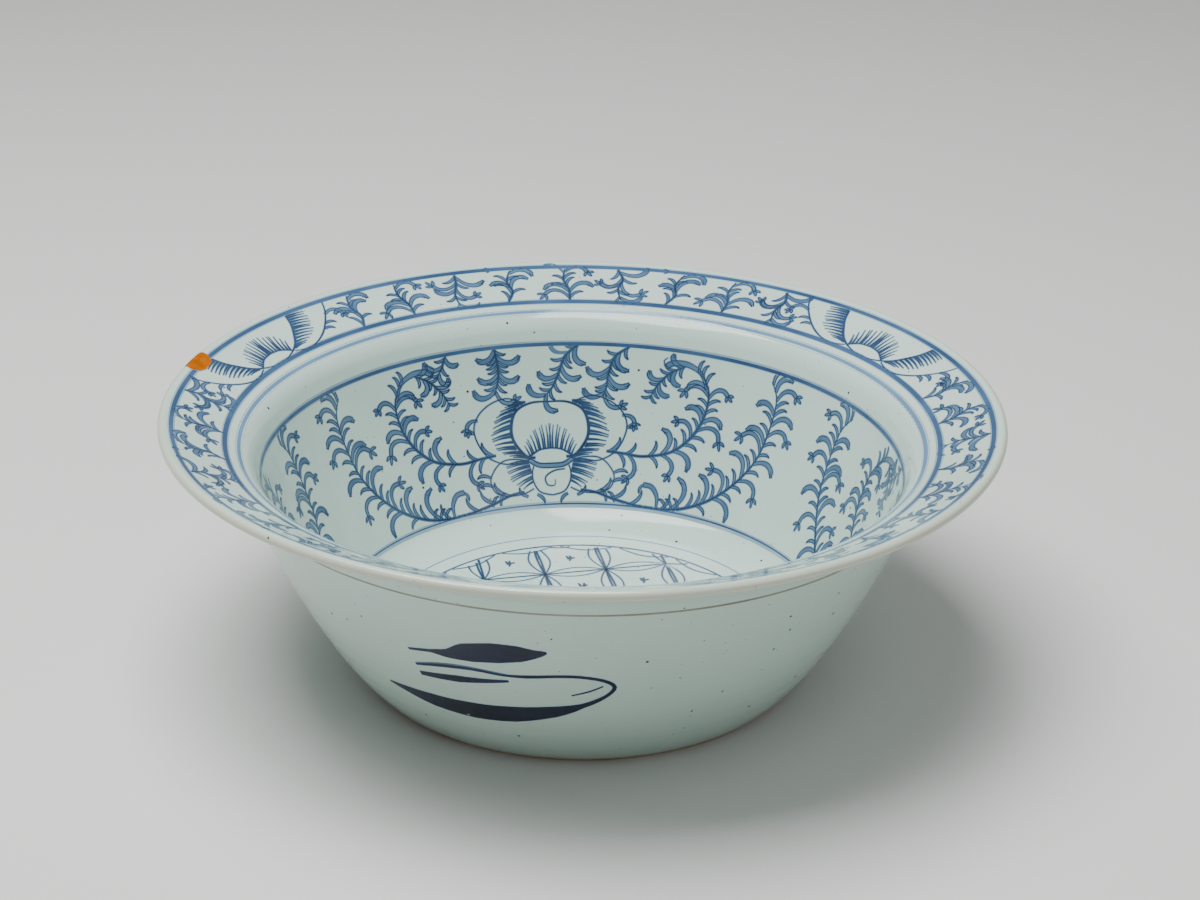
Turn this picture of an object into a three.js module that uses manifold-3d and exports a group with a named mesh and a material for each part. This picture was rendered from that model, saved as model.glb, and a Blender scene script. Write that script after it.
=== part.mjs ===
// Porcelain basin with a wide everted rim, thrown on the wheel, turned at the foot and glazed.
import * as THREE from 'three';
import { mergeVertices } from 'three/addons/utils/BufferGeometryUtils.js';
import Module from 'manifold-3d';

const wasm = await Module();
wasm.setup();

// Sizes in millimetres, angles in degrees. Heights count from the plane the foot stands on.

// Rim
const TOTAL_HEIGHT = 126.9;
const OUTER_DIAMETER = 380;
const LIP_ROUND = 2.3;
const RIM_SLOPE = 24.7;
const RIM_TAPER = 1.5;

// Wall
const NECK_RADIUS = 159.1;
const NECK_FILLET = 6.3;
const WALL_BELLY = 9.6;
const BELLY_SHARE = 0.3;
const WALL_AT_HEEL = 6.2;
const WALL_AT_SHOULDER = 9.6;
const SHOULDER_FILLET = 7;

// Floor and foot
const FOOT_RADIUS = 101.2;
const FOOT_WIDTH = 8.5;
const FOOT_BEVEL = 2.4;
const RECESS_DEPTH = 5.5;
const RECESS_FILLET = 3;
const FLOOR_THICKNESS = 5.3;
const HEEL_RISE = 11.7;
const HEEL_FILLET = 4;
const WELL_RADIUS = 80;
const WELL_FILLET = 15;
const WELL_DISH = 1.8;

// Glaze, and the height on the foot where it was wiped away
const GLAZE_THICKNESS = 0.4;
const GLAZE_STOP = 2.4;

// Filled chip in the lip: its mouth at the edge, its widest place and its inner end
const CHIP_ANGLE = 166;
const CHIP_MOUTH = 15;
const CHIP_WIDEST = 20;
const CHIP_WIDEST_DEPTH = 4.2;
const CHIP_END = 10;
const CHIP_DEPTH = 9.6;
const CHIP_GAP = 0.3;

// Facets, and the steps of the search for the shoulder's corner
const TURN_SEGMENTS = 48;
const LIP_STEPS = 6;
const WALL_STEPS = 6;
const FILLET_STEPS = 3;
const SEARCH_STEPS = 30;
const MERGE_DISTANCE = 1e-4;

const rad = THREE.MathUtils.degToRad;
const point = (x, y) => new THREE.Vector2(x, y);

// The lip is a circle. The top and the underside of the rim leave it as tangents.
const lipCentre = point(OUTER_DIAMETER / 2 - LIP_ROUND, TOTAL_HEIGHT - LIP_ROUND);
const topAngle = rad(RIM_SLOPE);
const underAngle = rad(RIM_SLOPE + RIM_TAPER);

function lipPoint(angle) {
  return point(
    lipCentre.x + LIP_ROUND * Math.cos(angle),
    lipCentre.y + LIP_ROUND * Math.sin(angle),
  );
}

const topTangent = lipPoint(topAngle + Math.PI / 2);
const underTangent = lipPoint(underAngle - Math.PI / 2);

function rimTopHeight(radius) {
  return topTangent.y + (radius - topTangent.x) * Math.tan(topAngle);
}

function rimUnderHeight(radius) {
  return underTangent.y + (radius - underTangent.x) * Math.tan(underAngle);
}

// The outside of the wall is one curve from the foot to the neck under the rim.
const wallFoot = point(FOOT_RADIUS + FOOT_BEVEL, GLAZE_STOP);
const neck = point(NECK_RADIUS, rimUnderHeight(NECK_RADIUS));
const chord = neck.clone().sub(wallFoot);
const outward = point(chord.y, -chord.x).normalize();
const belly = wallFoot.clone().addScaledVector(chord, BELLY_SHARE).addScaledVector(outward, WALL_BELLY);
const outerWall = new THREE.QuadraticBezierCurve(wallFoot, belly, neck);

function outerWallRadius(height) {
  const a = wallFoot.y - 2 * belly.y + neck.y;
  const b = 2 * (belly.y - wallFoot.y);
  const c = wallFoot.y - height;
  const t = (-b + Math.sqrt(b * b - 4 * a * c)) / (2 * a);
  return (1 - t) * (1 - t) * wallFoot.x + 2 * t * (1 - t) * belly.x + t * t * neck.x;
}

// The inside of the wall follows the outside at a thickness that grows towards the rim.
const floorHeight = RECESS_DEPTH + FLOOR_THICKNESS;
const heelHeight = floorHeight + HEEL_RISE;

function innerWallPoint(height) {
  const share = (height - heelHeight) / (neck.y - heelHeight);
  const wall = THREE.MathUtils.lerp(WALL_AT_HEEL, WALL_AT_SHOULDER, share);
  return point(outerWallRadius(height) - wall, height);
}

function shoulderCorner() {
  let height = neck.y;
  for (let pass = 0; pass < SEARCH_STEPS; pass += 1) {
    height = rimTopHeight(innerWallPoint(height).x);
  }
  return innerWallPoint(height);
}

function bend(from, corner, to, steps) {
  return new THREE.QuadraticBezierCurve(from, corner, to).getPoints(steps);
}

function moved(start, angle, distance) {
  return point(start.x + distance * Math.cos(angle), start.y + distance * Math.sin(angle));
}

// Outline of the glazed surface, from the foot up the outside, over the lip and in to the axis
function outsideOutline() {
  const wallShare = 1 - NECK_FILLET / chord.length();
  const wall = [];
  for (let step = 0; step < WALL_STEPS; step += 1) {
    wall.push(outerWall.getPoint((wallShare * step) / WALL_STEPS));
  }
  const neckTurn = bend(
    outerWall.getPoint(wallShare),
    neck,
    moved(neck, underAngle, NECK_FILLET),
    FILLET_STEPS,
  );
  return [...wall, ...neckTurn];
}

function lipOutline() {
  const from = underAngle - Math.PI / 2;
  const sweep = topAngle + Math.PI / 2 - from;
  const points = [];
  for (let step = 0; step <= LIP_STEPS; step += 1) {
    points.push(lipPoint(from + (sweep * step) / LIP_STEPS));
  }
  return points;
}

function insideOutline() {
  const corner = shoulderCorner();
  const wallTop = innerWallPoint(corner.y - SHOULDER_FILLET);
  const shoulder = bend(moved(corner, topAngle, SHOULDER_FILLET), corner, wallTop, FILLET_STEPS + 1);
  const wall = [];
  for (let step = 1; step < WALL_STEPS; step += 1) {
    wall.push(innerWallPoint(THREE.MathUtils.lerp(wallTop.y, heelHeight, step / WALL_STEPS)));
  }
  const heel = innerWallPoint(heelHeight);
  const above = innerWallPoint(heelHeight + HEEL_FILLET);
  const well = new THREE.CubicBezierCurve(
    heel,
    heel.clone().multiplyScalar(2).sub(above),
    point(WELL_RADIUS + WELL_FILLET, floorHeight + WELL_DISH),
    point(WELL_RADIUS, floorHeight),
  );
  return [...shoulder, ...wall, ...well.getPoints(FILLET_STEPS + 1), point(0, floorHeight)];
}

// Outline of the glazed base, from the axis to the inner side of the foot ring
const footInner = FOOT_RADIUS - FOOT_WIDTH;

function baseOutline() {
  const corner = point(footInner - GLAZE_STOP / 2, RECESS_DEPTH);
  const turnEnd = point(corner.x + GLAZE_THICKNESS, corner.y - RECESS_FILLET);
  const turn = bend(point(corner.x - RECESS_FILLET, corner.y), corner, turnEnd, FILLET_STEPS);
  return [point(0, RECESS_DEPTH), ...turn];
}

// The surface of the clay lies one glaze thickness inside the glazed outline.
function insetOutline(outline) {
  return outline.map((here, index) => {
    const before = outline[Math.max(index - 1, 0)];
    const after = outline[Math.min(index + 1, outline.length - 1)];
    const run = after.clone().sub(before).normalize();
    const inset = point(here.x - run.y * GLAZE_THICKNESS, here.y + run.x * GLAZE_THICKNESS);
    return here.x === 0 ? point(0, inset.y) : inset;
  });
}

const coatOutline = [...outsideOutline(), ...lipOutline(), ...insideOutline()];
const coatInset = insetOutline(coatOutline);
const recessOutline = baseOutline();
const recessInset = insetOutline(recessOutline);

// Turned solids
function asManifold(geometry) {
  const bare = geometry.clone();
  bare.deleteAttribute('normal');
  bare.deleteAttribute('uv');
  const merged = mergeVertices(bare, MERGE_DISTANCE);
  const triVerts = [];
  const corners = merged.index.array;
  for (let i = 0; i < corners.length; i += 3) {
    const [a, b, c] = [corners[i], corners[i + 1], corners[i + 2]];
    if (a !== b && b !== c && c !== a) {
      triVerts.push(a, b, c);
    }
  }
  const mesh = new wasm.Mesh({
    numProp: 3,
    vertProperties: new Float32Array(merged.attributes.position.array),
    triVerts: new Uint32Array(triVerts),
  });
  mesh.merge();
  return new wasm.Manifold(mesh);
}

function asGeometry(solid) {
  const mesh = solid.getMesh();
  const geometry = new THREE.BufferGeometry();
  geometry.setAttribute('position', new THREE.BufferAttribute(mesh.vertProperties, 3));
  geometry.setIndex(new THREE.BufferAttribute(mesh.triVerts, 1));
  geometry.computeVertexNormals();
  return geometry;
}

function turned(outline) {
  return asManifold(new THREE.LatheGeometry(outline, TURN_SEGMENTS).rotateX(Math.PI / 2));
}

// The chip is a six-sided notch through the whole thickness of the lip.
function chipTool(clearance) {
  const edge = OUTER_DIAMETER / 2;
  const half = (length) => length / 2 - clearance;
  const side = [
    point(edge + CHIP_DEPTH, half(CHIP_MOUTH)),
    point(edge, half(CHIP_MOUTH)),
    point(edge - CHIP_WIDEST_DEPTH, half(CHIP_WIDEST)),
    point(edge - CHIP_DEPTH + clearance, half(CHIP_END)),
  ];
  const mirrored = side.map((corner) => point(corner.x, -corner.y)).reverse();
  const depth = 2 * CHIP_DEPTH;
  const tool = new THREE.ExtrudeGeometry(new THREE.Shape([...side, ...mirrored]), {
    depth,
    bevelEnabled: false,
  });
  tool.translate(0, 0, lipCentre.y - depth / 2);
  tool.rotateZ(rad(CHIP_ANGLE));
  return asManifold(tool);
}

// Each glaze layer is what its outline adds to the clay, so the layers meet exactly.
// The clay is bare between the two layers, on the foot.
const bareFoot = [recessInset.at(-1), point(footInner, 0), point(FOOT_RADIUS, 0), coatInset[0]];
const clayRecess = recessInset.slice(0, -1);
const clayVessel = coatInset.slice(1);
const clay = turned([...clayRecess, ...bareFoot, ...clayVessel]);
const clayAndCoat = turned([...clayRecess, ...bareFoot, ...coatOutline]);
const clayAndBase = turned([...recessOutline, ...bareFoot, ...clayVessel]);
const chip = chipTool(0);
const body = clay.subtract(chip);
const coat = clayAndCoat.subtract(clay).subtract(chip);
const baseGlaze = clayAndBase.subtract(clay);
const fill = clayAndCoat.intersect(chipTool(CHIP_GAP));

// Named pieces
function piece(name, solid, color, roughness) {
  const material = new THREE.MeshStandardMaterial({ color, roughness, metalness: 0 });
  const mesh = new THREE.Mesh(asGeometry(solid), material);
  mesh.name = name;
  return mesh;
}

const basin = new THREE.Group();
basin.add(piece('porcelain_body', body, 0xd8d2c4, 0.85));
basin.add(piece('glaze_coat', coat, 0xc6d1cb, 0.12));
basin.add(piece('base_glaze', baseGlaze, 0xc6d1cb, 0.15));
basin.add(piece('rim_chip_fill', fill, 0xb4660f, 0.55));

export default basin;
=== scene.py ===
"""Looks of a blue-and-white porcelain basin with a wide everted rim."""

import logging
import math
import random
from dataclasses import dataclass, field
from enum import Enum
from typing import Callable, Sequence

import bmesh
import bpy
from mathutils import Matrix, Vector

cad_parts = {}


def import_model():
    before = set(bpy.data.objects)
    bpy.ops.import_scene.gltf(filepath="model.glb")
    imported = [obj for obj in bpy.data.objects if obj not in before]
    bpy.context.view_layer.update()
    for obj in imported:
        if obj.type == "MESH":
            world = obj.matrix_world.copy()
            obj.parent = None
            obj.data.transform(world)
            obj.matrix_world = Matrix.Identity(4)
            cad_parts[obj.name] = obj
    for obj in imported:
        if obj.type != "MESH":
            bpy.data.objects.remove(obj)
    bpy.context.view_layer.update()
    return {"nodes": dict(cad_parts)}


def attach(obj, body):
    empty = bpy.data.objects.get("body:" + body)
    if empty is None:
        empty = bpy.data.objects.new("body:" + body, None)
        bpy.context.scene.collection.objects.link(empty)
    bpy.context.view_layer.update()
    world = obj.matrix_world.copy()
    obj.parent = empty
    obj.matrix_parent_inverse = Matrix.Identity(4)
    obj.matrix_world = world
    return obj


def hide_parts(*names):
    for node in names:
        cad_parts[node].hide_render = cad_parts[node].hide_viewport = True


LOG = logging.getLogger("basin")
MM = 0.001
BODY = "root"

# Place and edge of the chip
CHIP_ANGLE = math.radians(166)
CHIP_GAP = 0.3
SHARP_ANGLE = math.radians(38)

# Lifts of the paint above the glaze, in millimetres
RING_HALO_LIFT = 0.014
RING_LIFT = 0.022
HALO_LIFT = 0.015
WASH_LIFT = 0.02
LINE_LIFT = 0.025
OUTSIDE_WASH_LIFT = 0.04
OUTSIDE_RING_LIFT = 0.05
OUTSIDE_MARK_LIFT = 0.07

# Rings are drawn flat at this radius, in this many steps
RING_RADIUS = 100.0
RING_STEPS = 240

# Start and end of the three dabs in a cell of the lattice, from its middle
CELL_MARKS = ((-1.8, 2.6, -0.6, -1.6), (0.4, 3.2, 0.2, -3.2), (2.4, 1.4, 0.6, -0.6))

Point = tuple[float, float]


class Side(Enum):
    """Which face of the form a painted layer lies on."""

    INSIDE = 1.0
    OUTSIDE = -1.0


def lerp(start: float, end: float, share: float) -> float:
    """Blend two numbers."""
    return start + (end - start) * share


def bend(start: Point, corner: Point, end: Point, steps: int) -> list[Point]:
    """Sample a quadratic curve.

    Args:
        start: First point.
        corner: Control point.
        end: Last point.
        steps: Number of spans.

    Returns:
        The steps + 1 points of the curve.
    """
    points = []
    for step in range(steps + 1):
        t = step / steps
        a, b, c = (1 - t) ** 2, 2 * t * (1 - t), t * t
        points.append((a * start[0] + b * corner[0] + c * end[0], a * start[1] + b * corner[1] + c * end[1]))
    return points


def smooth(points: Sequence[Point], spans: int) -> list[Point]:
    """Run a Catmull-Rom curve through points.

    Args:
        points: Points to pass through.
        spans: Spans between two points.

    Returns:
        The points of the smooth curve.
    """
    padded = [points[0], *points, points[-1]]
    result = [points[0]]
    for i in range(1, len(padded) - 2):
        p0, p1, p2, p3 = padded[i - 1 : i + 3]
        for step in range(1, spans + 1):
            t = step / spans
            result.append(tuple(
                0.5 * (2 * p1[k] + (p2[k] - p0[k]) * t + (2 * p0[k] - 5 * p1[k] + 4 * p2[k] - p3[k]) * t**2
                       + (3 * p1[k] - p0[k] - 3 * p2[k] + p3[k]) * t**3)
                for k in (0, 1)
            ))
    return result


@dataclass(frozen=True)
class BasinForm:
    """Outline of the basin in millimetres, the same as the solids have."""

    height: float = 126.9
    diameter: float = 380.0
    lip_round: float = 2.3
    rim_slope: float = math.radians(24.7)
    under_slope: float = math.radians(26.2)
    neck_radius: float = 159.1
    neck_fillet: float = 6.3
    wall_belly: float = 9.6
    belly_share: float = 0.3
    wall_at_heel: float = 6.2
    wall_at_shoulder: float = 9.6
    shoulder_fillet: float = 7.0
    foot_radius: float = 101.2
    foot_width: float = 8.5
    foot_bevel: float = 2.4
    recess_depth: float = 5.5
    recess_fillet: float = 3.0
    floor_thickness: float = 5.3
    heel_rise: float = 11.7
    heel_fillet: float = 4.0
    well_radius: float = 80.0
    well_fillet: float = 15.0
    well_dish: float = 1.8
    glaze: float = 0.4
    glaze_stop: float = 2.4
    fill_proud: float = 0.14
    throwing_depth: float = 0.06
    throwing_pitch: float = 9.0

    @property
    def lip_centre(self) -> Point:
        """Centre of the lip's circle."""
        return self.diameter / 2 - self.lip_round, self.height - self.lip_round

    @property
    def floor(self) -> float:
        """Height of the floor inside."""
        return self.recess_depth + self.floor_thickness

    @property
    def heel(self) -> float:
        """Height at which the wall turns into the floor."""
        return self.floor + self.heel_rise

    def lip_point(self, angle: float) -> Point:
        """Point of the lip's circle at an angle."""
        centre = self.lip_centre
        return centre[0] + self.lip_round * math.cos(angle), centre[1] + self.lip_round * math.sin(angle)

    def rim_top(self, radius: float) -> float:
        """Height of the rim's upper face at a radius."""
        start = self.lip_point(self.rim_slope + math.pi / 2)
        return start[1] + (radius - start[0]) * math.tan(self.rim_slope)

    def rim_under(self, radius: float) -> float:
        """Height of the rim's lower face at a radius."""
        start = self.lip_point(self.under_slope - math.pi / 2)
        return start[1] + (radius - start[0]) * math.tan(self.under_slope)

    def wall_controls(self) -> tuple[Point, Point, Point]:
        """Controls of the outer wall's curve, from the foot to the neck."""
        foot = (self.foot_radius + self.foot_bevel, self.glaze_stop)
        neck = (self.neck_radius, self.rim_under(self.neck_radius))
        run = (neck[0] - foot[0], neck[1] - foot[1])
        length = math.hypot(*run)
        belly = (
            foot[0] + run[0] * self.belly_share + run[1] / length * self.wall_belly,
            foot[1] + run[1] * self.belly_share - run[0] / length * self.wall_belly,
        )
        return foot, belly, neck

    def outer_point(self, t: float) -> Point:
        """Point of the outer wall's curve."""
        foot, belly, neck = self.wall_controls()
        a, b, c = (1 - t) ** 2, 2 * t * (1 - t), t * t
        return a * foot[0] + b * belly[0] + c * neck[0], a * foot[1] + b * belly[1] + c * neck[1]

    def inner_wall(self, height: float) -> Point:
        """Point of the inner wall at a height."""
        foot, belly, neck = self.wall_controls()
        a = foot[1] - 2 * belly[1] + neck[1]
        b = 2 * (belly[1] - foot[1])
        t = (-b + math.sqrt(b * b - 4 * a * (foot[1] - height))) / (2 * a)
        share = (height - self.heel) / (neck[1] - self.heel)
        return self.outer_point(t)[0] - lerp(self.wall_at_heel, self.wall_at_shoulder, share), height

    def shoulder_corner(self) -> Point:
        """Corner in which the rim and the inner wall would meet."""
        height = self.rim_under(self.neck_radius)
        for _ in range(30):
            height = self.rim_top(self.inner_wall(height)[0])
        return self.inner_wall(height)

    def outside(self) -> list[Point]:
        """Glazed outline from the foot up to the underside of the lip."""
        neck = self.wall_controls()[2]
        run = math.dist(self.wall_controls()[0], neck)
        last = 1 - self.neck_fillet / run
        wall = [self.outer_point(last * step / 36) for step in range(36)]
        out = (
            neck[0] + self.neck_fillet * math.cos(self.under_slope),
            neck[1] + self.neck_fillet * math.sin(self.under_slope),
        )
        turn = bend(self.outer_point(last), neck, out, 12)
        edge = self.lip_point(self.under_slope - math.pi / 2)
        under = [(lerp(out[0], edge[0], i / 10), lerp(out[1], edge[1], i / 10)) for i in range(1, 10)]
        return [*self.thrown(wall), *turn, *under]

    def lip(self) -> list[Point]:
        """Outline of the rounded lip."""
        first = self.under_slope - math.pi / 2
        last = self.rim_slope + math.pi / 2
        return [self.lip_point(lerp(first, last, i / 16)) for i in range(17)]

    def inside(self) -> list[Point]:
        """Glazed outline from the lip in to the axis."""
        corner = self.shoulder_corner()
        rim_start = self.lip_point(self.rim_slope + math.pi / 2)
        rim_end = (
            corner[0] + self.shoulder_fillet * math.cos(self.rim_slope),
            corner[1] + self.shoulder_fillet * math.sin(self.rim_slope),
        )
        rim = [
            (lerp(rim_start[0], rim_end[0], i / 16), lerp(rim_start[1], rim_end[1], i / 16))
            for i in range(1, 16)
        ]
        wall_top = self.inner_wall(corner[1] - self.shoulder_fillet)
        shoulder = bend(rim_end, corner, wall_top, 12)
        wall = [self.inner_wall(lerp(wall_top[1], self.heel, i / 32)) for i in range(1, 32)]
        heel = self.inner_wall(self.heel)
        above = self.inner_wall(self.heel + self.heel_fillet)
        p1 = (2 * heel[0] - above[0], 2 * heel[1] - above[1])
        p2 = (self.well_radius + self.well_fillet, self.floor + self.well_dish)
        p3 = (self.well_radius, self.floor)
        well = []
        for step in range(17):
            t = step / 16
            a, b, c, d = (1 - t) ** 3, 3 * t * (1 - t) ** 2, 3 * t * t * (1 - t), t**3
            well.append((
                a * heel[0] + b * p1[0] + c * p2[0] + d * p3[0],
                a * heel[1] + b * p1[1] + c * p2[1] + d * p3[1],
            ))
        floor = [(self.well_radius * (1 - i / 6), self.floor) for i in range(1, 7)]
        return [*rim, *shoulder, *wall, *well, *floor]

    def base(self) -> list[Point]:
        """Glazed outline of the recess under the base, from the axis to the foot ring."""
        corner = (self.foot_radius - self.foot_width - self.glaze_stop / 2, self.recess_depth)
        end = (corner[0] + self.glaze, corner[1] - self.recess_fillet)
        turn = bend((corner[0] - self.recess_fillet, corner[1]), corner, end, 8)
        flat = [(turn[0][0] * i / 10, self.recess_depth) for i in range(10)]
        return [*flat, *turn]

    def foot(self) -> list[Point]:
        """Bare outline of the foot ring, with its edges softened."""
        inner, outer = self.foot_radius - self.foot_width, self.foot_radius
        return [(inner - 0.1, 0.6), (inner + 0.4, 0.0), (outer - 0.4, 0.0), (outer + 0.5, 0.5)]

    def thrown(self, outline: Sequence[Point]) -> list[Point]:
        """Add the shallow ridges that fingers leave on the wheel."""
        result = []
        for radius, height in outline:
            share = max(0.0, min(1.0, (radius - self.foot_radius) / 20, (self.neck_radius - radius) / 12))
            ridge = math.sin(2 * math.pi * height / self.throwing_pitch)
            result.append((radius + self.throwing_depth * share * ridge, height))
        return result

    def inset(self, outline: Sequence[Point], depth: float) -> list[Point]:
        """Outline that lies a depth inside another, or outside it where the depth is negative."""
        result = []
        for i, (radius, height) in enumerate(outline):
            before = outline[max(i - 1, 0)]
            after = outline[min(i + 1, len(outline) - 1)]
            run = (after[0] - before[0], after[1] - before[1])
            length = math.hypot(*run)
            moved = (radius - run[1] / length * depth, height + run[0] / length * depth)
            result.append((0.0, moved[1]) if radius < 1e-6 else moved)
        return result


@dataclass
class Stroke:
    """One brush stroke: points on the unrolled surface and half-widths, in millimetres."""

    points: list[Point]
    widths: list[float]


def taper(points: Sequence[Point], start: float, middle: float, end: float) -> Stroke:
    """Make a stroke whose width changes evenly.

    Args:
        points: Points of the stroke.
        start: Half-width at the start.
        middle: Half-width at the middle.
        end: Half-width at the end.

    Returns:
        The stroke.
    """
    last = len(points) - 1
    widths = []
    for i in range(len(points)):
        share = 2 * i / last
        widths.append(lerp(start, middle, share) if share < 1 else lerp(middle, end, share - 1))
    return Stroke(list(points), widths)


@dataclass
class Painting:
    """Strokes of one motif, as dark lines and as pale washes."""

    lines: list[Stroke] = field(default_factory=list)
    washes: list[Stroke] = field(default_factory=list)

    def add(self, other: "Painting", place: Callable[[Point], Point]) -> None:
        """Copy another painting in at a place.

        Args:
            other: Painting to copy.
            place: Function that moves a point.
        """
        for source, target in ((other.lines, self.lines), (other.washes, self.washes)):
            for stroke in source:
                target.append(Stroke([place(p) for p in stroke.points], list(stroke.widths)))

    def within(self, low: float, high: float) -> "Painting":
        """Painting without the strokes that leave a band."""
        def kept(strokes: list[Stroke]) -> list[Stroke]:
            return [
                s for s in strokes
                if min(p[1] for p in s.points) > low and max(p[1] for p in s.points) < high
            ]
        return Painting(kept(self.lines), kept(self.washes))

    def halos(self, spread: float) -> list[Stroke]:
        """Wider copies of the lines, for the colour that has run into the glaze."""
        return [Stroke(list(s.points), [w + spread for w in s.widths]) for s in self.lines]

    def mirrored(self) -> "Painting":
        """Copy of the painting with its mirror image about x = 0 added."""
        both = Painting(list(self.lines), list(self.washes))
        both.add(self, lambda p: (-p[0], p[1]))
        return both


@dataclass
class Brush:
    """Draws the leaves, fronds and hatching that every band of the painting shares."""

    line: float = 0.3
    leaf_width: float = 1.12
    seed: int = 7

    def __post_init__(self) -> None:
        """Seed the brush's own chance."""
        self.chance = random.Random(self.seed)

    def _shape(self, centre: list[Point], widths: list[float], painting: Painting) -> None:
        """Outline a band and fill it with a wash."""
        left, right = [], []
        for i, (x, y) in enumerate(centre):
            before, after = centre[max(i - 1, 0)], centre[min(i + 1, len(centre) - 1)]
            run = (after[0] - before[0], after[1] - before[1])
            length = math.hypot(*run) or 1.0
            across = (-run[1] / length * widths[i], run[0] / length * widths[i])
            left.append((x + across[0], y + across[1]))
            right.append((x - across[0], y - across[1]))
        outline = [*left, *reversed(right)]
        painting.lines.append(taper(outline, self.line * 0.8, self.line * 1.1, self.line * 0.7))
        painting.washes.append(Stroke(list(centre), [max(w - 0.05, 0.05) for w in widths]))

    def leaf(self, base: Point, along: Point, side: float, length: float, kind: str,
             painting: Painting) -> None:
        """Draw one leaf that leaves a stem, arches over and droops.

        Args:
            base: Point on the stem.
            along: Unit direction of the stem.
            side: 1 for the left of the stem, -1 for its right.
            length: Reach of the leaf.
            kind: "hook", "claw" or "small".
            painting: Painting that the leaf is added to.
        """
        out = (-along[1] * side, along[0] * side)
        lift = self.chance.uniform(0.88, 1.12)
        if kind == "small":
            controls = [(0.0, 0.0), (0.35, 0.42), (0.75, 0.62), (1.05, 0.6)]
        else:
            controls = [(0.0, 0.0), (0.24, 0.3), (0.52, 0.44), (0.8, 0.4), (1.0, 0.2)]
        points = [
            (
                base[0] + length * (n * out[0] + t * lift * along[0]),
                base[1] + length * (n * out[1] + t * lift * along[1]),
            )
            for n, t in controls
        ]
        centre = smooth(points, 3)
        last = len(centre) - 1
        widths = []
        for i in range(last + 1):
            share = i / last
            body = lerp(0.55, 1.0, min(share / 0.5, 1.0))
            if kind == "small":
                body *= 0.9 * (1 - max(0.0, share - 0.4) / 0.6 * 0.9)
            elif kind == "claw":
                body *= 0.85
            else:
                body *= 1.1 if share < 0.9 else 0.6
            widths.append(self.leaf_width * body * min(1.0, 0.45 + length / 16))
        self._shape(centre, widths, painting)
        if kind == "hook":
            tip, before = centre[-1], centre[-4]
            droop = 0.7 * self.leaf_width
            curl = [before, (lerp(before[0], tip[0], 0.6), lerp(before[1], tip[1], 0.6) - droop), tip]
            painting.lines.append(taper(smooth(curl, 2), 0.12, self.line, 0.12))
        if kind == "claw":
            self._claw(centre, length, painting)

    def _claw(self, centre: list[Point], length: float, painting: Painting) -> None:
        """Split the tip of a leaf into three small pointed lobes."""
        tip, before = centre[-1], centre[-3]
        heading = math.atan2(tip[1] - before[1], tip[0] - before[0])
        for turn, reach in ((0.95, 0.3), (0.1, 0.34), (-0.85, 0.3)):
            angle = heading + turn
            step = reach * length
            middle = (
                tip[0] + 0.55 * step * math.cos(angle + 0.2 * turn),
                tip[1] + 0.55 * step * math.sin(angle + 0.2 * turn),
            )
            end = (tip[0] + step * math.cos(angle), tip[1] + step * math.sin(angle))
            lobe = smooth([tip, middle, end], 3)
            half = len(lobe) - 1
            widths = [
                self.leaf_width * 0.62 * math.sin(math.pi * lerp(0.12, 0.96, i / half))
                for i in range(half + 1)
            ]
            self._shape(lobe, widths, painting)

    def frond(self, stem: Sequence[Point], plan: tuple[str, str], reach: tuple[float, float],
              painting: Painting,
              weight: float = 0.42) -> None:
        """Draw a stem with leaves on both sides.

        Args:
            stem: Points that the stem passes through, from its root.
            plan: Kinds of the leaves on the left and on the right, as letters h, c, s and a space for none.
            reach: Length of the long leaves at the root and at the tip.
            painting: Painting that the frond is added to.
            weight: Half-width of the stem's line.
        """
        line = smooth(stem, 8)
        painting.lines.append(taper(line, weight, weight * 1.15, weight * 0.45))
        painting.washes.append(taper(line, weight * 2.1, weight * 2.6, weight * 0.8))
        kinds = {"h": "hook", "c": "claw", "s": "small"}
        for side, letters in ((1.0, plan[0]), (-1.0, plan[1])):
            for i, letter in enumerate(letters):
                if letter == " ":
                    continue
                share = (i + 0.5 + 0.12 * self.chance.uniform(-1, 1)) / len(letters)
                at = share * (len(line) - 2)
                low = int(at)
                base = (
                    lerp(line[low][0], line[low + 1][0], at - low),
                    lerp(line[low][1], line[low + 1][1], at - low),
                )
                run = (line[low + 1][0] - line[low][0], line[low + 1][1] - line[low][1])
                size = math.hypot(*run) or 1.0
                length = lerp(reach[0], reach[1], share) * self.chance.uniform(0.86, 1.12)
                if letter == "s":
                    length *= 0.5
                self.leaf(base, (run[0] / size, run[1] / size), side, length, kinds[letter], painting)

    def hatch(self, root: Sequence[Point], tips: Sequence[Point], count: int, painting: Painting,
              weight: float = 0.2) -> None:
        """Draw hatching lines from one curve to another.

        Args:
            root: Curve on which the lines start.
            tips: Curve on which they end.
            count: Number of lines.
            painting: Painting that they are added to.
            weight: Half-width of a line.
        """
        first, second = smooth(root, 8), smooth(tips, 8)
        for i in range(count):
            share = (i + 0.5) / count
            a = first[int(share * (len(first) - 1))]
            b = second[int(share * (len(second) - 1))]
            reach = self.chance.uniform(0.88, 1.02)
            end = (lerp(a[0], b[0], reach), lerp(a[1], b[1], reach))
            middle = (
                (a[0] + end[0]) / 2 + (a[1] - end[1]) * 0.03,
                (a[1] + end[1]) / 2 + (end[0] - a[0]) * 0.03,
            )
            line = smooth([a, middle, end], 2)
            painting.lines.append(taper(line, weight * 2.0, weight * 1.4, weight * 0.7))
            painting.washes.append(taper(line[:-1], weight * 3.6, weight * 2.8, weight * 0.8))


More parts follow.
